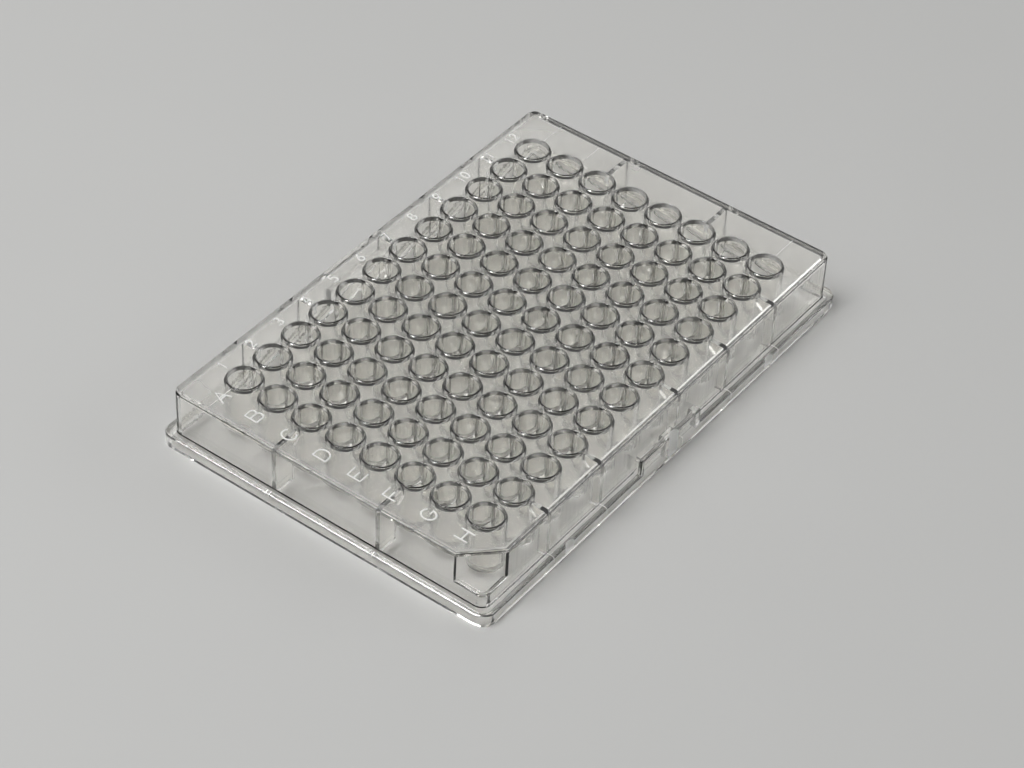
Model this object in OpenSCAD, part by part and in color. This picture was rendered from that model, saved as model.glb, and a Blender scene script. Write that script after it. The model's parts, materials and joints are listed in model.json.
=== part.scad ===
// 96-well microplate in clear polystyrene, moulded in one piece.
// Origin at the centre of the footprint on the bench, +X along the numbered
// columns 1 to 12, +Y towards row A, +Z up. Sizes are in millimetres.

/* [Base flange] */
// Outside length of the base flange, along the numbered columns
foot_length = 127.76; // [118:0.01:140]
// Outside width of the base flange, along the lettered rows
foot_width = 85.48; // [78:0.01:96]
// Corner radius of the base flange
foot_radius = 3.18; // [2:0.01:6]
// Height of the base flange above the bench
flange_height = 3.0; // [2.4:0.1:4.5]
// Thickness of the flange's upright outer wall
flange_wall = 1.3; // [0.8:0.1:1.6]
// Thickness of the flange's flat top
shelf_thickness = 1.1; // [0.6:0.1:1.6]
// Slant cut along the flange's top edge
flange_chamfer = 0.5; // [0.2:0.1:0.7]
// Radius of the scooped gate marks in the front flange
gate_radius = 2.0; // [1.2:0.1:3]
// Depth of the scooped gate marks
gate_depth = 0.7; // [0.3:0.1:0.9]
// Height of the gate marks' lower end above the bench
gate_lift = 0.8; // [0.4:0.1:1.6]

/* [Skirt and deck] */
// How far the upright skirt stands in from the flange's outer face
skirt_inset = 2.0; // [1.8:0.01:2.5]
// Corner radius of the upright skirt
skirt_radius = 2.3; // [1.8:0.1:5]
// Thickness of the upright skirt wall
skirt_wall = 1.2; // [0.8:0.1:1.6]
// Height of the whole plate, from the bench to the well rims
plate_height = 14.35; // [13.8:0.05:18]
// Height that each well rim stands above the flat deck
rim_height = 0.3; // [0.1:0.05:0.8]
// Thickness of the flat deck
deck_thickness = 1.1; // [0.8:0.1:1.8]
// Slant cut along the deck's outer edge
deck_chamfer = 0.45; // [0.2:0.05:0.7]

/* [Wells] */
// Distance between neighbouring well centres
well_pitch = 9.0; // [8.95:0.01:9.05]
// Inside diameter of a well at its mouth
well_mouth = 6.96; // [6.7:0.01:7.1]
// Inside diameter of a well at its floor
well_base = 6.5; // [6.2:0.01:6.7]
// Depth of a well, from rim to floor
well_depth = 10.9; // [8:0.1:11.3]
// Thickness of a well's floor
well_floor = 1.2; // [0.8:0.1:1.6]
// Outside diameter of a well's tube where it meets the deck
tube_top = 8.5; // [8.2:0.05:8.8]
// Outside diameter of a well's tube at its foot
tube_foot = 8.2; // [7.8:0.05:8.4]
// Outside diameter of the raised rim
rim_outer = 8.0; // [7.6:0.05:8.4]

/* [Corner notch and blocks] */
// Length of the notch along each side at corner H1
notch_leg = 7.6; // [5:0.1:9]
// Height of the ledge under the notch
ledge_height = 6.8; // [5:0.1:9]
// Height of the raised block on each long side
block_height = 6.9; // [5:0.1:9]
// Length of the raised block
block_length = 21.4; // [16:0.1:28]
// Offset of the block's middle from the plate's middle, along the columns
block_offset = -0.6; // [-3:0.1:3]

/* [Ribs inside the skirt] */
// Thickness of a stiffening rib
rib_thickness = 1.1; // [0.8:0.1:1.6]
// Height of the ribs' lower edges above the bench
rib_lift = 1.6; // [0.8:0.1:1.8]
// Length of a rib's lower edge on the long sides
long_rib_reach = 2.2; // [1.4:0.1:2.8]
// Length of a rib's lower edge on the short sides
short_rib_reach = 5.3; // [3:0.1:6]
// Depth of the full web that ties a rib to its well, under the deck
rib_web = 1.4; // [0.8:0.1:3]

/* [Hidden] */
$fa = 6;
$fs = 0.3;
ROWS = 8;
COLUMNS = 12;
LONG_RIB_COLUMNS = [2, 4, 7, 9, 11];
SHORT_RIB_ROWS = [3, 6];
GATE_COLUMNS = [2.5, 6.5, 10.5];
CLEAR = [0.93, 0.94, 0.92, 0.45];
cut = 1;
overlap = 0.1;
far = 2 * foot_length;

foot_x = foot_length / 2;
foot_y = foot_width / 2;
body_x = foot_x - skirt_inset;
body_y = foot_y - skirt_inset;
deck_top = plate_height - rim_height;
deck_under = deck_top - deck_thickness;
shelf_under = flange_height - shelf_thickness;
floor_top = plate_height - well_depth;
tube_bottom = floor_top - well_floor;

function column_x(c) = (c - (COLUMNS + 1) / 2) * well_pitch;
function row_y(r) = ((ROWS + 1) / 2 - r) * well_pitch;

// An upright slab with round corners and a slant cut around its top edge.
module slab(half_x, half_y, radius, height, chamfer) {
    section_x = half_x - radius;
    section_y = half_y - radius;
    rotate([90, 0, 90]) translate([0, 0, -section_x])
        linear_extrude(2 * section_x) profile(half_y, height, chamfer);
    rotate([90, 0, 0]) translate([0, 0, -section_y])
        linear_extrude(2 * section_y) profile(half_x, height, chamfer);
    for (sx = [-1, 1], sy = [-1, 1]) translate([sx * section_x, sy * section_y, 0]) {
        cylinder(h = height - chamfer, r = radius);
        translate([0, 0, height - chamfer])
            cylinder(h = chamfer, r1 = radius, r2 = radius - chamfer);
    }
}

// The slab's section: a rectangle on the bench with its two top corners cut.
module profile(half, height, chamfer) {
    polygon([[-half, 0], [half, 0], [half, height - chamfer], [half - chamfer, height],
             [-half + chamfer, height], [-half, height - chamfer]]);
}

// A flat outline with round corners.
module rounded(half_x, half_y, radius) {
    square([2 * half_x, 2 * (half_y - radius)], center = true);
    square([2 * (half_x - radius), 2 * half_y], center = true);
    for (sx = [-1, 1], sy = [-1, 1])
        translate([sx * (half_x - radius), sy * (half_y - radius)]) circle(radius);
}

// Moves its children to the notch face at corner H1, with +Y out of the face.
module at_notch() {
    translate([-body_x + notch_leg / 2, -body_y + notch_leg / 2, 0])
        rotate([0, 0, 135]) children();
}

// All that lies outside the slanted notch face, moved in by inset.
module beyond_notch(inset) {
    at_notch() translate([-far / 2, -inset, 0]) cube([far, far, far]);
}

// The wedge that the slant cut takes off the notch's top edge.
module notch_edge() {
    at_notch() translate([0, 0, deck_top - deck_chamfer])
        rotate([-45, 0, 0]) translate([-far / 2, -far / 2, 0]) cube([far, far, far]);
}

// One side block, drawn for the -Y side and moved in by inset all round.
module block(inset, bottom, depth) {
    translate([block_offset - block_length / 2 + inset, -foot_y + inset, bottom])
        cube([block_length - 2 * inset, depth, block_height - inset - bottom]);
}

module both_long_sides() {
    children();
    mirror([0, 1, 0]) children();
}

// Flange, skirt, deck and side blocks before they are hollowed.
module outside() {
    slab(foot_x, foot_y, foot_radius, flange_height, flange_chamfer);
    linear_extrude(ledge_height) rounded(body_x, body_y, skirt_radius);
    difference() {
        slab(body_x, body_y, skirt_radius, deck_top, deck_chamfer);
        translate([0, 0, ledge_height]) beyond_notch(0);
        notch_edge();
    }
    both_long_sides() block(0, 0, skirt_inset + skirt_wall);
}

// The open space under the deck, reached from below.
module underside() {
    translate([0, 0, -cut]) {
        linear_extrude(shelf_under + cut)
            rounded(foot_x - flange_wall, foot_y - flange_wall, foot_radius - flange_wall);
        linear_extrude(ledge_height - skirt_wall + cut) skirt_inside();
        difference() {
            linear_extrude(deck_under + cut) skirt_inside();
            beyond_notch(skirt_wall);
        }
    }
    both_long_sides() block(flange_wall, -cut, skirt_inset + skirt_wall);
}

module skirt_inside() {
    rounded(body_x - skirt_wall, body_y - skirt_wall, skirt_radius - skirt_wall);
}

// The scooped marks that the moulding gates leave in the -Y flange.
module gate_marks() {
    for (c = GATE_COLUMNS)
        translate([column_x(c), -foot_y - gate_radius + gate_depth, gate_lift])
            cylinder(h = flange_height - gate_lift, r = gate_radius);
}

// A rib's section: depth runs from the skirt towards the wells, height is up.
module rib_section(reach, tube_gap) {
    tie_bottom = deck_under - rib_web;
    polygon([[-skirt_wall / 2, rib_lift], [reach, rib_lift],
             [reach, tie_bottom - tube_gap + reach], [tube_gap, tie_bottom],
             [tube_gap, deck_top - deck_thickness / 2],
             [-skirt_wall / 2, deck_top - deck_thickness / 2]]);
}

// Moves a rib's section upright, its middle at the origin, reaching along +X.
module standing_rib(reach, tube_gap) {
    translate([0, rib_thickness / 2, 0]) rotate([90, 0, 0])
        linear_extrude(rib_thickness) rib_section(reach, tube_gap);
}

module ribs() {
    tube_reach = tube_top / 2 - (tube_top - well_mouth) / 4;
    long_gap = body_y - skirt_wall - row_y(1) - tube_reach;
    short_gap = body_x - skirt_wall - column_x(COLUMNS) - tube_reach;
    for (c = LONG_RIB_COLUMNS) both_long_sides()
        translate([column_x(c), -body_y + skirt_wall, 0]) rotate([0, 0, 90])
            standing_rib(long_rib_reach, long_gap);
    for (r = SHORT_RIB_ROWS, side = [0, 1]) mirror([side, 0, 0])
        translate([-body_x + skirt_wall, row_y(r), 0])
            standing_rib(short_rib_reach, short_gap);
}

module at_wells() {
    for (c = [1:COLUMNS], r = [1:ROWS]) translate([column_x(c), row_y(r), 0]) children();
}

// A well's tapered tube and its raised rim, still solid.
module tube() {
    translate([0, 0, tube_bottom])
        cylinder(h = deck_under - tube_bottom + overlap, d1 = tube_foot, d2 = tube_top);
    translate([0, 0, deck_under]) cylinder(h = plate_height - deck_under, d = rim_outer);
}

// The hollow of one well, a cone that runs on past the rim.
module well() {
    flare = (well_mouth - well_base) / well_depth;
    translate([0, 0, floor_top])
        cylinder(h = well_depth + cut, d1 = well_base, d2 = well_mouth + flare * cut);
}

module well_plate() {
    color(CLEAR) difference() {
        union() {
            difference() {
                outside();
                underside();
                gate_marks();
            }
            ribs();
            at_wells() tube();
        }
        at_wells() well();
    }
}

well_plate();
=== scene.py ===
"""Dresses a 96-well microplate in clear polystyrene for a close look.

The plate is one moulding: a base flange, an upright skirt, a deck with 96
tapered wells, stiffening ribs, two side blocks, a notch at corner H1 and
three gate marks. Each sub-assembly is a class that holds its sizes in
millimetres and builds closed solids with bmesh. Moulding joins them into one
watertight mesh, DeckMarks draws the row letters, column numbers and mould
lines, and Studio sets the floor, lamps and camera.
"""

import json
import logging
import math
from dataclasses import dataclass
from enum import Enum

import bmesh
import bpy
from mathutils import Matrix, Vector

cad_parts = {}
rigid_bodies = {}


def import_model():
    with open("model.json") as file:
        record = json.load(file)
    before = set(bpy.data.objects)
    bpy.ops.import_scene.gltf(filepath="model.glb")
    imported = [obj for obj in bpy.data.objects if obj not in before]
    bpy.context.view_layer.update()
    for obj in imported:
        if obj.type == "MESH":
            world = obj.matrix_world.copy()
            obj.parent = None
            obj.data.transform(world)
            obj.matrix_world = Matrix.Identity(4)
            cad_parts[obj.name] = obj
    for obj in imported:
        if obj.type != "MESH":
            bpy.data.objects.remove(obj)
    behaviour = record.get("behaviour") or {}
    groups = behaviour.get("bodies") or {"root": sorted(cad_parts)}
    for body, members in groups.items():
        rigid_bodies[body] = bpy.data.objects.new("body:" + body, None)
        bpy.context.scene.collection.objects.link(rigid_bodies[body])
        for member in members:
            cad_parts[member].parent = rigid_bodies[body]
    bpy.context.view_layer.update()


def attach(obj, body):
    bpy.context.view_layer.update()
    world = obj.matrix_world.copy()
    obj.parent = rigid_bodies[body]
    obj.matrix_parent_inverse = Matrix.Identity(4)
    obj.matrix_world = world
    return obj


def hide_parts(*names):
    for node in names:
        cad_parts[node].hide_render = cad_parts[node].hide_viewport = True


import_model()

LOG = logging.getLogger("well_plate")
MM = 0.001
NODE = "well_plate"
BODY = "root"
HAIR = 1e-4


class Join(Enum):
    """How one solid is joined to another."""

    ADD = "UNION"
    CUT = "DIFFERENCE"


class Finish(Enum):
    """The finishes on the moulding, as its material slots."""

    CLEAR = 0
    SATIN = 1
    FROST = 2


class Side(Enum):
    """A side of the plate, as the sign of its outward direction."""

    NEAR = -1
    OFF = 1


# ---------------------------------------------------------------- solids


class Solid:
    """A closed mesh in the making, in metres, kept as a bmesh."""

    def __init__(self) -> None:
        """Starts with an empty bmesh."""
        self.bm = bmesh.new()

    def add_block(self, low: Vector, high: Vector) -> list:
        """Adds an upright box.

        Args:
            low: lowest corner, in millimetres.
            high: highest corner, in millimetres.

        Returns:
            The vertices of the box.
        """
        size = (high - low) * MM
        middle = (high + low) * MM / 2
        place = Matrix.Translation(middle) @ Matrix.Diagonal((*size, 1.0))
        return bmesh.ops.create_cube(self.bm, size=1.0, matrix=place)["verts"]

    def round_edges(self, edges: list, radius: float, segments: int) -> None:
        """Rounds edges.

        Args:
            edges: the edges to round.
            radius: how far the rounding reaches, in millimetres.
            segments: number of facets across the rounding.
        """
        bmesh.ops.bevel(self.bm, geom=edges, offset=radius * MM, offset_type="OFFSET",
                        affect="EDGES", segments=segments, profile=0.5,
                        material=-1, clamp_overlap=True)

    def edges_where(self, test) -> list:
        """Finds edges by their two ends.

        Args:
            test: takes the two end points in millimetres and says yes or no.

        Returns:
            The edges for which the test says yes.
        """
        return [e for e in self.bm.edges
                if test(e.verts[0].co / MM, e.verts[1].co / MM)]

    def upright_edges(self) -> list:
        """Finds the edges that run straight up."""
        return self.edges_where(lambda a, b: abs(a.x - b.x) < HAIR
                                and abs(a.y - b.y) < HAIR)

    def level_edges(self, height: float) -> list:
        """Finds the edges that lie level at one height.

        Args:
            height: their height, in millimetres.

        Returns:
            The level edges at that height.
        """
        return self.edges_where(lambda a, b: abs(a.z - height) < HAIR
                                and abs(b.z - height) < HAIR)

    def add_turned(self, profile: list, centres: list, steps: int) -> None:
        """Adds one turned shape at each centre.

        Args:
            profile: (radius, height) points from the axis at the bottom round
                to the axis at the top, in millimetres.
            centres: (x, y) of each turned shape, in millimetres.
            steps: number of facets round the axis.
        """
        turned = bmesh.new()
        points = [turned.verts.new((r * MM, 0.0, z * MM)) for r, z in profile]
        rails = [turned.edges.new(pair) for pair in zip(points, points[1:])]
        bmesh.ops.spin(turned, geom=points + rails, cent=(0, 0, 0), axis=(0, 0, 1),
                       angle=2 * math.pi, steps=steps, use_merge=True)
        bmesh.ops.remove_doubles(turned, verts=turned.verts, dist=1e-7)
        bmesh.ops.recalc_face_normals(turned, faces=turned.faces)
        pattern = bpy.data.meshes.new("turned_pattern")
        turned.to_mesh(pattern)
        turned.free()
        for x, y in centres:
            first = len(self.bm.verts)
            self.bm.from_mesh(pattern)
            self.bm.verts.ensure_lookup_table()
            bmesh.ops.translate(self.bm, verts=self.bm.verts[first:],
                                vec=(x * MM, y * MM, 0.0))
        bpy.data.meshes.remove(pattern)

    def to_object(self, name: str) -> bpy.types.Object:
        """Turns the bmesh into an object at the origin and frees it.

        Args:
            name: the object's name.

        Returns:
            The new object, linked to the scene.
        """
        bmesh.ops.recalc_face_normals(self.bm, faces=self.bm.faces)
        mesh = bpy.data.meshes.new(name)
        self.bm.to_mesh(mesh)
        self.bm.free()
        obj = bpy.data.objects.new(name, mesh)
        bpy.context.scene.collection.objects.link(obj)
        return obj


def join_solids(base: bpy.types.Object, tool: bpy.types.Object, how: Join) -> None:
    """Adds a closed solid to another or cuts it away, and removes the tool.

    Args:
        base: the object that is changed.
        tool: the object that is added or cut away.
        how: whether the tool is added or cut.
    """
    work = base.modifiers.new("join", "BOOLEAN")
    work.operation = how.value
    work.solver = "MANIFOLD"
    work.object = tool
    graph = bpy.context.evaluated_depsgraph_get()
    result = bpy.data.meshes.new_from_object(base.evaluated_get(graph))
    base.modifiers.clear()
    old, base.data = base.data, result
    bpy.data.meshes.remove(old)
    scrap = tool.data
    bpy.data.objects.remove(tool)
    bpy.data.meshes.remove(scrap)


def slab(half_x: float, half_y: float, bottom: float, top: float, corner: float,
         corner_steps: int, edge: float = 0.0, edge_steps: int = 3) -> Solid:
    """Makes an upright slab with round corners and a rounded top edge.

    Args:
        half_x: half its length, in millimetres.
        half_y: half its width.
        bottom: height of its underside.
        top: height of its top.
        corner: radius of its upright corners.
        corner_steps: facets across each corner.
        edge: radius of the rounding along the top edge, none when zero.
        edge_steps: facets across that rounding.

    Returns:
        The slab as a Solid.
    """
    solid = Solid()
    solid.add_block(Vector((-half_x, -half_y, bottom)), Vector((half_x, half_y, top)))
    solid.round_edges(solid.upright_edges(), corner, corner_steps)
    if edge > 0:
        solid.round_edges(solid.level_edges(top), edge, edge_steps)
    return solid


# ---------------------------------------------------------------- sizes


@dataclass(frozen=True)
class Outline:
    """The plate's main sizes, shared by every sub-assembly, in millimetres."""

    foot_x: float = 63.88
    foot_y: float = 42.74
    foot_corner: float = 3.18
    flange_top: float = 3.0
    flange_wall: float = 1.3
    shelf: float = 1.1
    block_top: float = 6.9
    skirt_inset: float = 2.0
    skirt_corner: float = 2.3
    skirt_wall: float = 1.2
    rim_top: float = 14.35
    deck_top: float = 14.05
    deck_under: float = 12.95
    pitch: float = 9.0
    rows: int = 8
    columns: int = 12

    @property
    def body_x(self) -> float:
        """Half the length over the skirt."""
        return self.foot_x - self.skirt_inset

    @property
    def body_y(self) -> float:
        """Half the width over the skirt."""
        return self.foot_y - self.skirt_inset

    def column_x(self, column: float) -> float:
        """Gives the middle of a column.

        Args:
            column: column number, from 1.

        Returns:
            Its x, in millimetres.
        """
        return (column - (self.columns + 1) / 2) * self.pitch

    def row_y(self, row: float) -> float:
        """Gives the middle of a row.

        Args:
            row: row number, from 1 at row A.

        Returns:
            Its y, in millimetres.
        """
        return ((self.rows + 1) / 2 - row) * self.pitch

    def wells(self) -> list:
        """Lists the centre of every well, column by column."""
        return [(self.column_x(c), self.row_y(r))
                for c in range(1, self.columns + 1) for r in range(1, self.rows + 1)]


# ---------------------------------------------------------------- the moulding


@dataclass
class Flange:
    """The base flange that the plate stands on, with its side blocks."""

    outline: Outline
    edge: float = 0.5
    block_length: float = 21.4
    block_middle: float = -0.6
    block_edge: float = 0.55
    hollow_edge: float = 0.3
    skirt_fillet: float = 0.2

    def foot(self) -> Solid:
        """Builds the flange's outside, still solid."""
        o = self.outline
        return slab(o.foot_x, o.foot_y, 0.0, o.flange_top, o.foot_corner, 10, self.edge)

    def fillet(self) -> Solid:
        """Builds the small fillet where the skirt rises from the flange."""
        o, reach = self.outline, self.skirt_fillet
        return slab(o.body_x + reach, o.body_y + reach, o.flange_top - 0.5, o.flange_top + reach,
                    o.skirt_corner + reach, 8, reach * 0.99, 1)

    def foot_hollow(self) -> Solid:
        """Builds the space inside the flange's upright wall."""
        o = self.outline
        return slab(o.foot_x - o.flange_wall, o.foot_y - o.flange_wall, -1.0,
                    o.flange_top - o.shelf, o.foot_corner - o.flange_wall, 8, 0.25, 2)

    def block(self, side: Side, inset: float, bottom: float) -> Solid:
        """Builds one raised side block, or its hollow.

        Args:
            side: the long side it stands on.
            inset: how far each outer face is moved in.
            bottom: height of its underside.

        Returns:
            The block as a Solid.
        """
        o = self.outline
        half = self.block_length / 2 - inset
        face, back = side.value * (o.foot_y - inset), side.value * (o.body_y - o.skirt_wall / 2)
        top = o.block_top - inset
        solid = Solid()
        low_y, high_y = sorted((face, back))
        solid.add_block(Vector((self.block_middle - half, low_y, bottom)),
                        Vector((self.block_middle + half, high_y, top)))
        outer = solid.edges_where(
            lambda a, b: min(abs(a.y - face), abs(b.y - face)) < HAIR
            and (a.z + b.z) / 2 > bottom + HAIR)
        ends = solid.edges_where(lambda a, b: abs(a.z - top) < HAIR and abs(b.z - top) < HAIR
                                 and abs(a.x - b.x) < HAIR)
        edges = outer + [e for e in ends if e not in outer]
        solid.round_edges(edges, self.hollow_edge if inset else self.block_edge, 3)
        return solid


@dataclass
class Skirt:
    """The upright skirt and the deck it carries, notched at corner H1."""

    outline: Outline
    edge: float = 0.3
    ledge_top: float = 6.8
    notch_leg: float = 7.6

    def wedge(self, bottom: float, inset: float) -> Solid:
        """Builds what the notch takes off the corner.

        Args:
            bottom: height of the ledge it leaves.
            inset: how far the slanted face is moved in.

        Returns:
            A tall block beyond the slanted face.
        """
        o = self.outline
        solid = Solid()
        verts = solid.add_block(Vector((-30.0, -inset, bottom)), Vector((30.0, 30.0, 40.0)))
        middle = Vector((-o.body_x + self.notch_leg / 2, -o.body_y + self.notch_leg / 2, 0)) * MM
        turn = Matrix.Translation(middle) @ Matrix.Rotation(math.radians(135), 4, "Z")
        bmesh.ops.transform(solid.bm, matrix=turn, verts=verts)
        return solid

    def shell(self) -> bpy.types.Object:
        """Builds the skirt's outside with its notch and rounded edges."""
        o = self.outline
        body = slab(o.body_x, o.body_y, 0.0, o.deck_top, o.skirt_corner, 8).to_object("shell")
        join_solids(body, self.wedge(self.ledge_top, 0.0).to_object("wedge"), Join.CUT)
        return self.rounded(body, o.deck_top, self.ledge_top, self.edge, 0.3)

    def hollow(self) -> bpy.types.Object:
        """Builds the open space under the deck."""
        o = self.outline
        wall = o.skirt_wall
        body = slab(o.body_x - wall, o.body_y - wall, -1.0, o.deck_under,
                    o.skirt_corner - wall, 6).to_object("hollow")
        join_solids(body, self.wedge(self.ledge_top - wall, wall).to_object("wedge"), Join.CUT)
        return self.rounded(body, o.deck_under, self.ledge_top - wall, 0.35, 0.2)

    def rounded(self, body: bpy.types.Object, top: float, ledge: float,
                edge: float, corner: float) -> bpy.types.Object:
        """Rounds the top rim and the ledge's rim.

        Args:
            body: the notched slab.
            top: height of its top.
            ledge: height of the ledge.
            edge: radius along the top rim, in millimetres.
            corner: not used.

        Returns:
            The same object, with its new mesh.
        """
        solid = Solid()
        solid.bm.from_mesh(body.data)
        bmesh.ops.remove_doubles(solid.bm, verts=solid.bm.verts, dist=1e-6)
        bmesh.ops.dissolve_limit(solid.bm, angle_limit=math.radians(1),
                                 verts=solid.bm.verts, edges=solid.bm.edges)
        rim = [e for e in solid.level_edges(top) if e.calc_face_angle(0) > 1.0]
        rim += [e for e in solid.level_edges(ledge) if e.calc_face_angle(0) > 1.0
                and e.is_convex]
        solid.round_edges(rim, edge, 1)
        solid.bm.to_mesh(body.data)
        solid.bm.free()
        return body


@dataclass
class WellGrid:
    """The 96 tapered wells: tubes under the deck, raised rims and hollows."""

    outline: Outline
    mouth: float = 3.48
    base: float = 3.25
    floor_top: float = 3.45
    foot: float = 2.25
    tube_top: float = 4.25
    tube_foot: float = 4.1
    rim_outer: float = 4.0
    steps: int = 56

    def tubes(self) -> Solid:
        """Builds the outsides of all tubes with their rims, still solid."""
        o = self.outline
        solid = Solid()
        side = [(0, self.foot), (self.tube_foot - 0.6, self.foot),
                (self.tube_foot - 0.3, self.foot + 0.08), (self.tube_foot - 0.08, self.foot + 0.3),
                (self.tube_foot, self.foot + 0.6),
                (self.tube_top, o.deck_under + 0.1), (self.rim_outer, o.deck_under + 0.1),
                (self.rim_outer, o.rim_top - 0.25), (self.rim_outer - 0.03, o.rim_top - 0.14),
                (self.rim_outer - 0.13, o.rim_top - 0.04), (self.rim_outer - 0.25, o.rim_top),
                (0, o.rim_top)]
        solid.add_turned(side, o.wells(), self.steps)
        return solid

    def hollows(self) -> Solid:
        """Builds the hollows of all wells, run on past their rims."""
        o = self.outline
        solid = Solid()
        side = [(0, self.floor_top), (self.base - 0.45, self.floor_top),
                (self.base - 0.14, self.floor_top + 0.12), (self.base, self.floor_top + 0.45),
                (self.mouth - 0.01, o.rim_top - 0.26), (self.mouth + 0.02, o.rim_top - 0.14),
                (self.mouth + 0.11, o.rim_top - 0.04), (self.mouth + 0.25, o.rim_top + 0.01),
                (self.mouth + 0.25, o.rim_top + 1),
                (0, o.rim_top + 1)]
        solid.add_turned(side, o.wells(), self.steps)
        return solid


@dataclass
class Ribs:
    """The stiffening ribs between the skirt and the outer tubes."""

    outline: Outline
    thickness: float = 1.1
    lift: float = 1.6
    long_reach: float = 2.2
    short_reach: float = 5.3
    web: float = 1.4
    long_columns: tuple = (2, 4, 7, 9, 11)
    short_rows: tuple = (3, 6)
    tube_reach: float = 3.88
    slope: float = 0.77

    def section(self, reach: float, gap: float) -> list:
        """Lists a rib's corners, from the skirt inwards.

        Args:
            reach: length of its lower edge.
            gap: distance from the skirt to the tube it ties to.

        Returns:
            The (distance, height) corners, in millimetres.
        """
        o = self.outline
        tie = o.deck_under - self.web
        inner = o.deck_under + o.shelf / 2
        return [(-o.skirt_wall / 2, self.lift), (reach, self.lift),
                (reach, tie - (gap - reach) * self.slope), (gap, tie), (gap, inner),
                (-o.skirt_wall / 2, inner)]

    def all(self) -> Solid:
        """Builds every rib as a closed prism."""
        o = self.outline
        solid = Solid()
        long_gap = o.body_y - o.skirt_wall - o.row_y(1) - self.tube_reach
        short_gap = o.body_x - o.skirt_wall - o.column_x(o.columns) - self.tube_reach
        for column in self.long_columns:
            for turn, y in ((90, -o.body_y + o.skirt_wall), (-90, o.body_y - o.skirt_wall)):
                self.stand(solid, self.section(self.long_reach, long_gap),
                           (o.column_x(column), y), turn)
        for row in self.short_rows:
            for turn, x in ((0, -o.body_x + o.skirt_wall), (180, o.body_x - o.skirt_wall)):
                self.stand(solid, self.section(self.short_reach, short_gap),
                           (x, o.row_y(row)), turn)
        return solid

    def stand(self, solid: Solid, section: list, place: tuple, turn: float) -> None:
        """Adds one rib, raised from its section.

        Args:
            solid: where it is added.
            section: its (distance, height) corners.
            place: (x, y) of its foot on the skirt's inner face.
            turn: its direction, in degrees from +X.
        """
        bm = solid.bm
        corners = [bm.verts.new((d * MM, -self.thickness / 2 * MM, z * MM)) for d, z in section]
        face = bm.faces.new(corners)
        raised = bmesh.ops.extrude_face_region(bm, geom=[face])["geom"]
        new = [g for g in raised if isinstance(g, bmesh.types.BMVert)]
        bmesh.ops.translate(bm, verts=new, vec=(0, self.thickness * MM, 0))
        whole = Matrix.Translation((place[0] * MM, place[1] * MM, 0)) @ Matrix.Rotation(
            math.radians(turn), 4, "Z")
        bmesh.ops.transform(bm, matrix=whole, verts=corners + new)


@dataclass
class GateMarks:
    """The scoops that the moulding gates leave in the -Y flange and its block."""

    outline: Outline
    flange_columns: tuple = (2.5, 10.5)
    block_column: float = 6.5
    radius: float = 2.0
    depth: float = 0.7
    block_depth: float = 0.95
    lift: float = 0.8
    torn_top: float = 1.7
    fillet: float = 0.3
    web_half: float = 1.75
    web_drop: float = 0.6
    hair: float = 0.01
    torn_hair: float = 0.05

    def axis(self, column: float, depth: float) -> tuple:
        """Gives the (x, y) of a scoop's upright axis.

        Args:
            column: where along the columns it stands.
            depth: how deep it cuts, in millimetres.

        Returns:
            The axis, in millimetres.
        """
        o = self.outline
        return (o.column_x(column), -o.foot_y - self.radius + depth)

    def marks(self) -> list:
        """Lists each scoop's (axis, top, height up to which it is torn)."""
        top = self.outline.flange_top
        low = [(self.axis(c, self.depth), top, top) for c in self.flange_columns]
        return low + [(self.axis(self.block_column, self.block_depth),
                       self.outline.block_top, self.torn_top)]

    def scoops(self) -> Solid:
        """Builds the scoops as cutters with a rounded lower edge."""
        solid = Solid()
        for axis, top, _ in self.marks():
            side = [(0, self.lift), (self.radius - self.fillet, self.lift),
                    (self.radius - self.fillet * 0.3, self.lift + self.fillet * 0.3),
                    (self.radius, self.lift + self.fillet),
                    (self.radius, top + self.hair), (0, top + self.hair)]
            solid.add_turned(side, [axis], 48)
        return solid

    def web(self) -> Solid:
        """Builds the solid web that backs the tall scoop inside the block."""
        o = self.outline
        solid = Solid()
        back, top = -o.body_y + o.skirt_wall / 2, o.block_top - self.web_drop
        solid.add_block(Vector((-self.web_half, -o.foot_y + self.web_drop, self.lift)),
                        Vector((self.web_half, back, top)))
        return solid

    def holds(self, points: list) -> bool:
        """Says whether a face lies on the torn part of a scoop's wall.

        Args:
            points: the face's corners, in millimetres.

        Returns:
            True when every corner is within a hair of one torn wall.
        """
        low, near = self.lift - self.hair, self.radius + self.hair
        return any(all(p.z > low and (p.xy - Vector(axis)).length < near for p in points)
                   and min(p.z for p in points) < torn - self.torn_hair
                   for axis, _, torn in self.marks())


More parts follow.
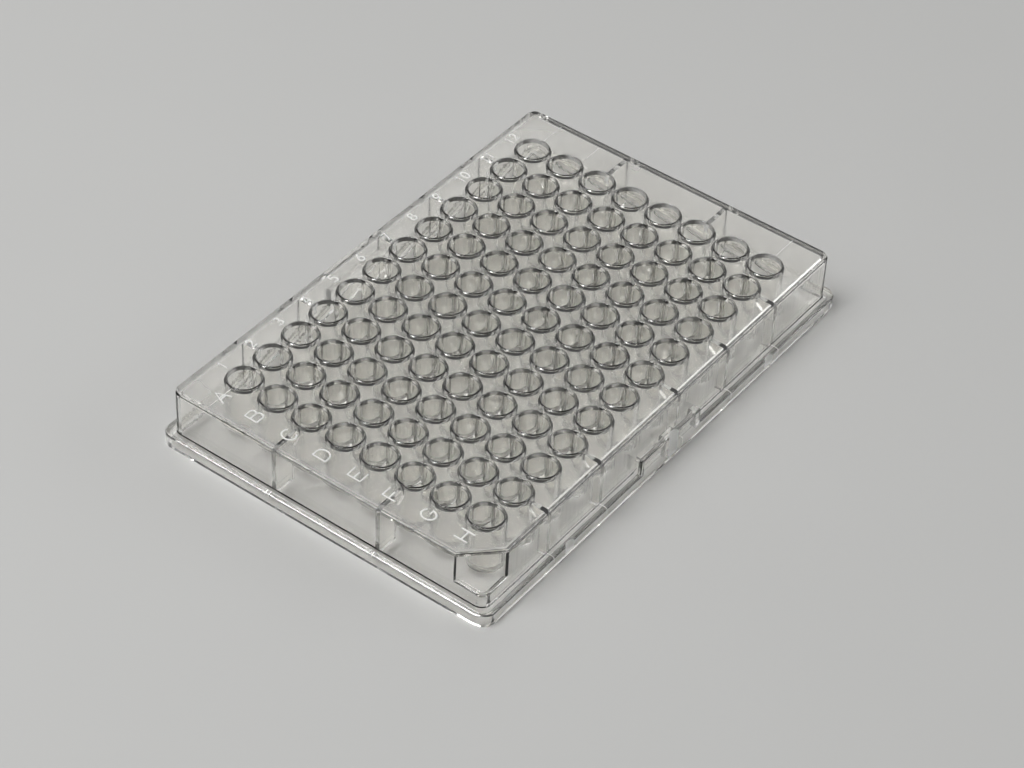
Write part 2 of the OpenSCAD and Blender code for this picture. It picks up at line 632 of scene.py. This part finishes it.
@dataclass
class Moulding:
    """The whole clear moulding, joined into one watertight piece."""

    outline: Outline
    sharp_over: float = 38.0
    level_hair: float = 0.05
    level_tilt: float = 0.9

    def build(self) -> bpy.types.Object:
        """Joins every sub-assembly into the finished piece.

        Returns:
            The object that stands for the CAD node.
        """
        flange, skirt = Flange(self.outline), Skirt(self.outline)
        wells, ribs = WellGrid(self.outline), Ribs(self.outline)
        piece = skirt.shell()
        piece.name = "clear_moulding"
        piece.data.name = "clear_moulding"
        steps = [(flange.foot(), Join.ADD), (flange.fillet(), Join.ADD)]
        steps += [(flange.block(side, 0.0, 0.0), Join.ADD) for side in Side]
        steps += [(skirt.hollow(), Join.CUT), (flange.foot_hollow(), Join.CUT)]
        steps += [(flange.block(side, self.outline.flange_wall, -1.0), Join.CUT) for side in Side]
        gates = GateMarks(self.outline)
        steps += [(gates.web(), Join.ADD), (gates.scoops(), Join.CUT), (ribs.all(), Join.ADD),
                  (wells.tubes(), Join.ADD), (wells.hollows(), Join.CUT)]
        for number, (part, how) in enumerate(steps):
            tool = part if isinstance(part, bpy.types.Object) else part.to_object("part")
            join_solids(piece, tool, how)
            LOG.info("step %d: %d faces", number, len(piece.data.polygons))
        self.tidy(piece)
        return piece

    def sort_finishes(self, piece: bpy.types.Object) -> None:
        """Gives the deck's satin underside and the gate marks their own finish.

        Args:
            piece: the joined piece, with its materials in the order of Finish.
        """
        under = self.outline.deck_under
        gates = GateMarks(self.outline)
        for face in piece.data.polygons:
            face.material_index = Finish.CLEAR.value
            off = abs(face.center.z / MM - under)
            if off < self.level_hair and face.normal.z < -self.level_tilt:
                face.material_index = Finish.SATIN.value
            elif gates.holds([piece.data.vertices[v].co / MM for v in face.vertices]):
                face.material_index = Finish.FROST.value

    def tidy(self, piece: bpy.types.Object) -> None:
        """Merges doubles and sets smooth and sharp shading.

        Args:
            piece: the joined piece.
        """
        bm = bmesh.new()
        bm.from_mesh(piece.data)
        bmesh.ops.remove_doubles(bm, verts=bm.verts, dist=2e-6)
        bmesh.ops.dissolve_degenerate(bm, dist=1e-6, edges=bm.edges)
        limit = math.radians(self.sharp_over)
        for face in bm.faces:
            face.smooth = True
        for edge in bm.edges:
            edge.smooth = edge.calc_face_angle(0) < limit
        bm.to_mesh(piece.data)
        loose = sum(1 for e in bm.edges if not e.is_manifold)
        LOG.info("moulding: %d faces, %d open edges", len(bm.faces), loose)
        bm.free()
        weigh = piece.modifiers.new("flat_faces_lead", "WEIGHTED_NORMAL")
        weigh.keep_sharp = True
        weigh.weight = 100


# ---------------------------------------------------------------- the marks


def arc(middle: tuple, reach: tuple, start: float, end: float, steps: int = 10) -> list:
    """Lists points along part of an ellipse.

    Args:
        middle: its centre.
        reach: its half width and half height.
        start: first angle, in degrees from the right.
        end: last angle.
        steps: number of steps.

    Returns:
        The (x, y) points in order.
    """
    turns = [math.radians(start + (end - start) * i / steps) for i in range(steps + 1)]
    return [(middle[0] + reach[0] * math.cos(t), middle[1] + reach[1] * math.sin(t))
            for t in turns]


STROKES = {
    "A": [[(0, 0), (0.5, 1), (1, 0)], [(0.18, 0.36), (0.82, 0.36)]],
    "B": [[(0, 0), (0, 1), (0.6, 1), *arc((0.6, 0.775), (0.3, 0.225), 80, -90), (0, 0.55)],
          [(0.6, 0.55), *arc((0.68, 0.275), (0.32, 0.275), 90, -90), (0, 0)]],
    "C": [arc((0.53, 0.5), (0.53, 0.5), 42, 318, 20)],
    "D": [[(0, 0), (0, 1), (0.45, 1), *arc((0.45, 0.5), (0.55, 0.5), 80, -80), (0.45, 0), (0, 0)]],
    "E": [[(1, 1), (0, 1), (0, 0), (1, 0)], [(0, 0.52), (0.78, 0.52)]],
    "F": [[(1, 1), (0, 1), (0, 0)], [(0, 0.52), (0.78, 0.52)]],
    "G": [arc((0.53, 0.5), (0.53, 0.5), 42, 350, 20) + [(1.05, 0.47), (0.62, 0.47)]],
    "H": [[(0, 0), (0, 1)], [(1, 0), (1, 1)], [(0, 0.47), (1, 0.47)]],
    "0": [arc((0.5, 0.5), (0.5, 0.5), 0, 360, 20)],
    "1": [[(0.2, 0.72), (0.6, 1), (0.6, 0)]],
    "2": [arc((0.5, 0.7), (0.45, 0.3), 165, -35) + [(0.0, 0.0), (1.0, 0.0)]],
    "3": [arc((0.46, 0.755), (0.42, 0.245), 150, -90)
          + arc((0.46, 0.255), (0.5, 0.255), 90, -150)],
    "4": [[(0.72, 0), (0.72, 1), (0, 0.3), (1, 0.3)]],
    "5": [[(0.9, 1), (0.18, 1), (0.1, 0.56)] + arc((0.47, 0.32), (0.5, 0.32), 130, -145)],
    "6": [[(0.72, 1), (0.18, 0.56)] + arc((0.5, 0.31), (0.46, 0.31), 155, -205, 18)],
    "7": [[(0, 1), (1, 1), (0.35, 0)]],
    "8": [arc((0.5, 0.76), (0.4, 0.24), -90, 270, 16), arc((0.5, 0.27), (0.5, 0.27), 90, 450, 16)],
    "9": [[(0.28, 0), (0.82, 0.44)] + arc((0.5, 0.69), (0.46, 0.31), -25, 335, 18)],
}


class Lettering:
    """Thin raised strokes, drawn as round wires half sunk in a surface."""

    def __init__(self, name: str, radius: float) -> None:
        """Starts an empty set of strokes.

        Args:
            name: the finished piece's name.
            radius: radius of each stroke, in millimetres.
        """
        self.name = name
        self.curve = bpy.data.curves.new(name, "CURVE")
        self.curve.dimensions = "3D"
        self.curve.bevel_depth = radius * MM
        self.curve.bevel_resolution = 1
        self.curve.use_fill_caps = True

    def line(self, points: list) -> None:
        """Adds one stroke.

        Args:
            points: (x, y, z) points along it, in millimetres.
        """
        spline = self.curve.splines.new("POLY")
        spline.points.add(len(points) - 1)
        for point, place in zip(spline.points, points):
            point.co = (*(v * MM for v in place), 1.0)

    def word(self, text: str, middle: tuple, size: tuple, height: float) -> None:
        """Adds letters or figures side by side.

        Args:
            text: what is written.
            middle: (x, y) of its middle, in millimetres.
            size: width and height of one figure, in millimetres.
            height: height of the surface it stands on, in millimetres.
        """
        gap = size[0] * 0.45
        span = len(text) * size[0] + (len(text) - 1) * gap
        left, low = middle[0] - span / 2, middle[1] - size[1] / 2
        for letter in text:
            for stroke in STROKES[letter]:
                self.line([(left + x * size[0], low + y * size[1], height) for x, y in stroke])
            left += size[0] + gap

    def to_piece(self) -> bpy.types.Object:
        """Turns the strokes into a mesh piece at the origin."""
        drawn = bpy.data.objects.new(self.name, self.curve)
        bpy.context.scene.collection.objects.link(drawn)
        graph = bpy.context.evaluated_depsgraph_get()
        mesh = bpy.data.meshes.new_from_object(drawn.evaluated_get(graph))
        bpy.data.objects.remove(drawn)
        mesh.name = self.name
        mesh.shade_smooth()
        piece = bpy.data.objects.new(self.name, mesh)
        bpy.context.scene.collection.objects.link(piece)
        return piece


@dataclass
class DeckMarks:
    """Row letters, column numbers and the fine flow lines of the moulding."""

    outline: Outline
    letter_size: tuple = (2.6, 3.3)
    letter_x: float = -56.65
    figure_size: tuple = (1.35, 2.4)
    figure_y: float = 37.6
    stroke: float = 0.22
    sunk: float = 0.05
    flow_stroke: float = 0.09
    deck_lines: tuple = ((1, -60.3, -53.7), (1, 53.7, 60.3), (2.24, 54.4, 59.6), (8, 53.9, 60.3))
    near_lines: tuple = (-41.3, -23.3, 3.7, 21.7, 39.7)
    near_reach: float = 1.9
    near_foot: float = 0.8
    side_rows: tuple = (3, 6)
    side_gap: float = 0.45
    side_reach: float = 1.1
    side_drop: float = 0.8

    def rows(self) -> bpy.types.Object:
        """Draws the letters A to H down the left of the deck."""
        letters = Lettering("row_letters", self.stroke)
        for number in range(self.outline.rows):
            letters.word("ABCDEFGH"[number], (self.letter_x, self.outline.row_y(number + 1)),
                         self.letter_size, self.outline.deck_top - self.sunk)
        return letters.to_piece()

    def columns(self) -> bpy.types.Object:
        """Draws the numbers 1 to 12 along the deck's +Y edge."""
        figures = Lettering("column_numbers", self.stroke)
        for number in range(1, self.outline.columns + 1):
            figures.word(str(number), (self.outline.column_x(number), self.figure_y),
                         self.figure_size, self.outline.deck_top - self.sunk)
        return figures.to_piece()

    def flow_lines(self) -> bpy.types.Object:
        """Draws the hair lines that the mould leaves on deck and flange."""
        o = self.outline
        lines = Lettering("mould_lines", self.flow_stroke)
        height = o.deck_top - self.flow_stroke * 0.6
        for row, low, high in self.deck_lines:
            lines.line([(low, o.row_y(row), height), (high, o.row_y(row), height)])
        inset = self.flow_stroke + 0.01
        down = self.over_edge(self.near_reach, self.near_foot)
        for x in self.near_lines:
            lines.line([(x, inset - o.foot_y + reach, z) for reach, z in down])
        down = self.over_edge(self.side_reach, o.flange_top - self.side_drop)
        for row in self.side_rows:
            for y in (o.row_y(row) - self.side_gap, o.row_y(row) + self.side_gap):
                lines.line([(inset - o.foot_x + reach, y, z) for reach, z in down])
        return lines.to_piece()

    def over_edge(self, reach: float, end: float) -> list:
        """Follows the flange's top and its rounded edge, down its outer face.

        Args:
            reach: how far in on the flange's top the line starts.
            end: height at which it ends.

        Returns:
            The (distance in from the face, height) points, in millimetres.
        """
        top = self.outline.flange_top
        return [(reach, top - self.sunk), (0.45, top - self.sunk), (0.13, top - 0.18),
                (0.0, top - 0.5), (0.0, end)]


# ---------------------------------------------------------------- finishes


class Signal:
    """A value or colour inside a material, joined by + - * into Math nodes."""

    def __init__(self, bench: "Bench", socket: bpy.types.NodeSocket) -> None:
        """Wraps a socket.

        Args:
            bench: the bench that makes the nodes.
            socket: the output socket that carries the value.
        """
        self.bench = bench
        self.socket = socket

    def math(self, operation: str, *values) -> "Signal":
        """Adds a Math node.

        Args:
            operation: the Math node's operation.
            *values: its inputs, as Signals or numbers.

        Returns:
            The node's result.
        """
        return self.bench.node("ShaderNodeMath", {"operation": operation},
                               dict(enumerate(values)))

    def __add__(self, other) -> "Signal":
        """Adds."""
        return self.math("ADD", self, other)

    def __radd__(self, other) -> "Signal":
        """Adds, from the right."""
        return self.math("ADD", other, self)

    def __rsub__(self, other) -> "Signal":
        """Subtracts, from the right."""
        return self.math("SUBTRACT", other, self)

    def __mul__(self, other) -> "Signal":
        """Multiplies."""
        return self.math("MULTIPLY", self, other)

    def __rmul__(self, other) -> "Signal":
        """Multiplies, from the right."""
        return self.math("MULTIPLY", other, self)

    def size(self) -> "Signal":
        """Drops the sign."""
        return self.math("ABSOLUTE", self)

    def band(self, low: float, high: float) -> "Signal":
        """Rises smoothly from 0 at low to 1 at high."""
        return self.bench.node("ShaderNodeMapRange", {"interpolation_type": "SMOOTHSTEP"},
                               {"Value": self, "From Min": low, "From Max": high})

    def part(self, name: str) -> "Signal":
        """Gives another output of the same node."""
        return Signal(self.bench, self.socket.node.outputs[name])


class Bench:
    """Makes the nodes of one material or world."""

    def __init__(self, tree: bpy.types.NodeTree) -> None:
        """Clears a node tree and keeps it.

        Args:
            tree: the tree to fill.
        """
        self.tree = tree
        tree.nodes.clear()

    def node(self, kind: str, settings: dict | None = None,
             sockets: dict | None = None) -> Signal:
        """Makes one node.

        Args:
            kind: the node's type.
            settings: its settings, set first; "stops" are a ramp's
                (position, colour) pairs.
            sockets: values or Signals for its inputs, by name or number.

        Returns:
            Its first output.
        """
        made = self.tree.nodes.new(kind)
        for name, value in (settings or {}).items():
            if name == "stops":
                self.ramp(made.color_ramp, value)
            else:
                setattr(made, name, value)
        for name, value in (sockets or {}).items():
            if isinstance(value, Signal):
                self.tree.links.new(value.socket, made.inputs[name])
            else:
                made.inputs[name].default_value = value
        return Signal(self, made.outputs[0]) if made.outputs else None

    def ramp(self, ramp: bpy.types.ColorRamp, stops: list) -> None:
        """Sets a ramp's stops.

        Args:
            ramp: the ramp to set.
            stops: (position, colour) pairs in order.
        """
        for position, colour in stops[2:]:
            ramp.elements.new(position)
        for element, (position, colour) in zip(ramp.elements, stops):
            element.position = position
            element.color = colour

    def place(self) -> Signal:
        """Gives the Object coordinates, in metres."""
        return self.node("ShaderNodeTexCoord").part("Object")

    def stretched(self, scale: tuple) -> Signal:
        """Gives the Object coordinates, scaled along each axis.

        Args:
            scale: factor along x, y and z.

        Returns:
            The scaled coordinates.
        """
        return self.node("ShaderNodeMapping", {}, {"Vector": self.place(), "Scale": scale})

    def noise(self, scale: tuple, detail: float) -> Signal:
        """Gives noise from 0 to 1 with its own scale along each axis.

        Args:
            scale: cells to the metre along x, y and z.
            detail: octaves of detail.

        Returns:
            The noise value.
        """
        return self.node("ShaderNodeTexNoise", {}, {
            "Vector": self.stretched(scale), "Scale": 1.0, "Detail": detail})

    def bump(self, height: Signal, distance: float) -> Signal:
        """Turns a height into a surface normal.

        Args:
            height: the height, from 0 to 1.
            distance: what a height of 1 stands for, in metres.

        Returns:
            The bent normal.
        """
        return self.node("ShaderNodeBump", {}, {
            "Height": height, "Distance": distance, "Strength": 1.0})


def new_material(name: str) -> tuple:
    """Makes an empty material.

    Args:
        name: the material's name.

    Returns:
        The material and the Bench for its nodes.
    """
    material = bpy.data.materials.new(name)
    material.use_nodes = True
    return material, Bench(material.node_tree)


@dataclass(frozen=True)
class ClearPolystyrene:
    """Water-clear polystyrene, polished, with faint flow lines and draw marks."""

    tint: tuple = (1.0, 0.994, 0.975, 1.0)
    ior: float = 1.59
    polish: float = 0.012
    scuff: float = 0.05
    deck_under: float = Outline.deck_under
    deck_fade: float = 0.6
    flange_top: float = Outline.flange_top
    calm_top: float = 3.6
    calm_share: float = 0.25
    waviness: float = 0.00003
    draw_share: float = 0.8
    flow_cells: tuple = (220, 220, 60)
    draw_cells: tuple = (1400, 1400, 70)
    wear_cells: tuple = (90, 90, 90)

    def material(self) -> bpy.types.Material:
        """Builds the material."""
        material, bench = new_material("clear_polystyrene")
        height = bench.node("ShaderNodeSeparateXYZ", {}, {"Vector": bench.place()}).part("Z")
        walls = 1.0 - height.band((self.deck_under - self.deck_fade) * MM, self.deck_under * MM)
        flow = bench.noise(self.flow_cells, 3.0)
        above = height.band(self.flange_top * MM, self.calm_top * MM)
        calm = self.calm_share + above * (1.0 - self.calm_share)
        draw = bench.noise(self.draw_cells, 1.0) * walls
        wear = bench.noise(self.wear_cells, 4.0).band(0.5, 0.75)
        shader = bench.node("ShaderNodeBsdfPrincipled", {}, {
            "Base Color": self.tint, "IOR": self.ior, "Transmission Weight": 1.0,
            "Roughness": self.polish + self.scuff * wear,
            "Normal": bench.bump((flow + draw * self.draw_share) * calm, self.waviness)})
        bench.node("ShaderNodeOutputMaterial", {}, {"Surface": shader})
        return material


@dataclass(frozen=True)
class SatinPolystyrene:
    """The deck's underside: satin along the border, smoother between the wells."""

    tint: tuple = (1.0, 0.99, 0.965, 1.0)
    ior: float = 1.59
    border_satin: float = 0.22
    inner_satin: float = 0.03
    clarity: float = 0.93
    inner_x: float = 48.0
    inner_y: float = 30.0
    fade: float = 12.0
    patchiness: float = 0.4
    patch_satin: float = 0.06
    patch_cells: tuple = (60, 60, 60)
    grain_cells: tuple = (2500, 2500, 2500)
    grain_height: float = 0.00002

    def material(self) -> bpy.types.Material:
        """Builds the material."""
        material, bench = new_material("satin_polystyrene")
        place = bench.node("ShaderNodeSeparateXYZ", {}, {"Vector": bench.place()})
        patch = bench.noise(self.patch_cells, 3.0).band(0.35, 0.7)
        along = place.part("X").size().band(self.inner_x * MM, (self.inner_x + self.fade) * MM)
        across = place.part("Y").size().band(self.inner_y * MM, (self.inner_y + self.fade) * MM)
        border = (along + across) * ((1.0 - self.patchiness) + patch * self.patchiness)
        grain = bench.noise(self.grain_cells, 2.0)
        satin = self.inner_satin + border * (self.border_satin - self.inner_satin)
        shader = bench.node("ShaderNodeBsdfPrincipled", {}, {
            "Base Color": self.tint, "IOR": self.ior, "Transmission Weight": self.clarity,
            "Roughness": satin + patch * self.patch_satin,
            "Normal": bench.bump(grain, self.grain_height)})
        bench.node("ShaderNodeOutputMaterial", {}, {"Surface": shader})
        return material


@dataclass(frozen=True)
class FrostedPolystyrene:
    """White finish: real frost on the torn gate marks, which scatter light, and a painted
    highlight on the letters, figures and mould lines, whose clear raised strokes only catch bright
    edges.
    """

    name: str = "frosted_polystyrene"
    # near-white colour: frost on the gate marks, painted highlight on the letters, figures and
    # mould lines
    colour: tuple = (0.97, 0.97, 0.95, 1.0)
    ior: float = 1.59
    roughness: float = 0.4
    grain_roughness: float = 0.3
    clarity: float = 0.05
    grain_cells: tuple = (6000, 6000, 6000)
    grain_height: float = 0.00005

    def material(self) -> bpy.types.Material:
        """Builds the material."""
        material, bench = new_material(self.name)
        grain = bench.noise(self.grain_cells, 2.0)
        shader = bench.node("ShaderNodeBsdfPrincipled", {}, {
            "Base Color": self.colour, "IOR": self.ior, "Transmission Weight": self.clarity,
            "Roughness": self.roughness + grain * self.grain_roughness,
            "Normal": bench.bump(grain, self.grain_height)})
        bench.node("ShaderNodeOutputMaterial", {}, {"Surface": shader})
        return material


@dataclass(frozen=True)
class PaleBench:
    """The matte pale floor."""

    colour: tuple = (0.54, 0.54, 0.53, 1.0)
    mottle: float = 0.985
    mottle_cells: tuple = (14, 14, 14)

    def material(self) -> bpy.types.Material:
        """Builds the material."""
        material, bench = new_material("pale_bench")
        shade = bench.noise(self.mottle_cells, 2.0)
        low = tuple(c * self.mottle for c in self.colour[:3]) + (1.0,)
        colour = bench.node("ShaderNodeValToRGB", {"stops": [(0.3, low), (0.7, self.colour)]},
                            {"Fac": shade})
        shader = bench.node("ShaderNodeBsdfPrincipled", {}, {
            "Base Color": colour, "Roughness": 0.7, "Specular IOR Level": 0.2})
        bench.node("ShaderNodeOutputMaterial", {}, {"Surface": shader})
        return material


# ---------------------------------------------------------------- the studio


@dataclass
class Studio:
    """Floor, soft lamps, surroundings and camera."""

    target: tuple = (-9.448, -7.693, 7.0)
    distance: float = 646.67
    azimuth: float = -54.7037
    elevation: float = 42.4553
    roll: float = 2.8367
    lens: float = 108.26
    sensor: float = 36.0
    bounces: int = 20
    floor_half: float = 3.0
    floor_drop: float = 0.00005

    def set_up(self) -> None:
        """Sets the whole studio."""
        bpy.context.scene.view_settings.view_transform = "Standard"
        light = bpy.context.scene.cycles
        light.max_bounces = self.bounces
        light.transmission_bounces = self.bounces
        light.glossy_bounces = 4
        light.diffuse_bounces = 6
        light.blur_glossy = 0.0
        self.floor()
        self.surroundings()
        self.lamps()
        self.camera()

    def floor(self) -> None:
        """Lays the pale floor a hair under the plate, so no faces coincide."""
        bm = bmesh.new()
        bmesh.ops.create_grid(bm, x_segments=8, y_segments=8, size=self.floor_half,
                              matrix=Matrix.Translation((0, 0, -self.floor_drop)))
        mesh = bpy.data.meshes.new("floor")
        bm.to_mesh(mesh)
        bm.free()
        floor = bpy.data.objects.new("floor", mesh)
        bpy.context.scene.collection.objects.link(floor)
        floor.data.materials.append(PaleBench().material())

    def surroundings(self) -> None:
        """Sets soft light that is brightest near the horizon."""
        world = bpy.data.worlds.new("soft_room")
        bpy.context.scene.world = world
        world.use_nodes = True
        bench = Bench(world.node_tree)
        up = bench.node("ShaderNodeSeparateXYZ", {}, {
            "Vector": bench.node("ShaderNodeTexCoord").part("Generated")}).part("Z")
        colour = bench.node("ShaderNodeValToRGB", {"stops": [
            (0.0, (0.3, 0.3, 0.3, 1)), (0.12, (0.2, 0.2, 0.2, 1)),
            (0.35, (0.12, 0.12, 0.12, 1)), (1.0, (0.1, 0.1, 0.1, 1))]}, {"Fac": up})
        shader = bench.node("ShaderNodeBackground", {}, {"Color": colour, "Strength": 1.0})
        bench.node("ShaderNodeOutputWorld", {}, {"Surface": shader})

    def lamps(self) -> None:
        """Hangs the soft area lamps."""
        self.lamp("top_lamp", (-0.45, 0.3, 1.2), (0.8, 0.8), 14.0)
        self.lamp("back_lamp", (0.75, 0.6, 0.85), (1.0, 0.8), 1.9)
        self.lamp("right_strip", (0.7, -0.8, 0.52), (0.9, 0.3), 2.3)
        self.lamp("left_strip", (-0.85, 0.55, 0.75), (0.9, 0.15), 1.2)

    def lamp(self, name: str, place: tuple, size: tuple, power: float) -> None:
        """Hangs one lamp, aimed at the plate.

        Args:
            name: the lamp's name.
            place: where it hangs, in metres.
            size: its width and height, in metres.
            power: its power, in watts.
        """
        data = bpy.data.lights.new(name, "AREA")
        data.shape = "RECTANGLE"
        data.size, data.size_y = size
        data.energy = power
        lamp = bpy.data.objects.new(name, data)
        lamp.location = place
        lamp.rotation_euler = (-Vector(place)).to_track_quat("-Z", "Y").to_euler()
        bpy.context.scene.collection.objects.link(lamp)

    def camera(self) -> None:
        """Sets the camera's place, turn and lens."""
        az, el = math.radians(self.azimuth), math.radians(self.elevation)
        back = Vector((math.sin(az) * math.cos(el), -math.cos(az) * math.cos(el), math.sin(el)))
        right = Vector((0, 0, 1)).cross(back).normalized()
        turn = Matrix((right, back.cross(right), back)).transposed().to_4x4()
        turn = turn @ Matrix.Rotation(math.radians(self.roll), 4, "Z")
        data = bpy.data.cameras.new("camera")
        data.lens = self.lens
        data.sensor_width = self.sensor
        data.clip_start = 0.01
        camera = bpy.data.objects.new("camera", data)
        camera.matrix_world = Matrix.Translation(
            (Vector(self.target) + back * self.distance) * MM) @ turn
        bpy.context.scene.collection.objects.link(camera)
        bpy.context.scene.camera = camera


def clear_start() -> None:
    """Removes what a new file holds beside the plate."""
    for obj in list(bpy.data.objects):
        if obj.name in ("Cube", "Light", "Camera"):
            bpy.data.objects.remove(obj)


def dress(piece: bpy.types.Object, *finishes) -> None:
    """Gives a piece its materials and ties it to the plate.

    Args:
        piece: the piece.
        *finishes: its finishes, in the order of its slots.
    """
    piece.data.materials.clear()
    for finish in finishes:
        piece.data.materials.append(finish.material())
    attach(piece, BODY)
    LOG.info("%s: %d faces", piece.name, len(piece.data.polygons))


def main() -> None:
    """Builds, dresses and reports every piece."""
    logging.basicConfig(level=logging.INFO, format="%(name)s: %(message)s")
    clear_start()
    Studio().set_up()
    outline = Outline()
    moulding = Moulding(outline)
    piece = moulding.build()
    dress(piece, ClearPolystyrene(), SatinPolystyrene(), FrostedPolystyrene())
    moulding.sort_finishes(piece)
    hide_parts(NODE)
    marks = DeckMarks(outline)
    # letters, figures and mould lines get a near-white painted highlight in place of the bright
    # edges their clear raised strokes catch
    dress(marks.rows(), FrostedPolystyrene("letter_painted_highlight"))
    dress(marks.columns(), FrostedPolystyrene("figure_painted_highlight"))
    dress(marks.flow_lines(), FrostedPolystyrene("line_painted_highlight"))


if __name__ == "__main__":
    main()
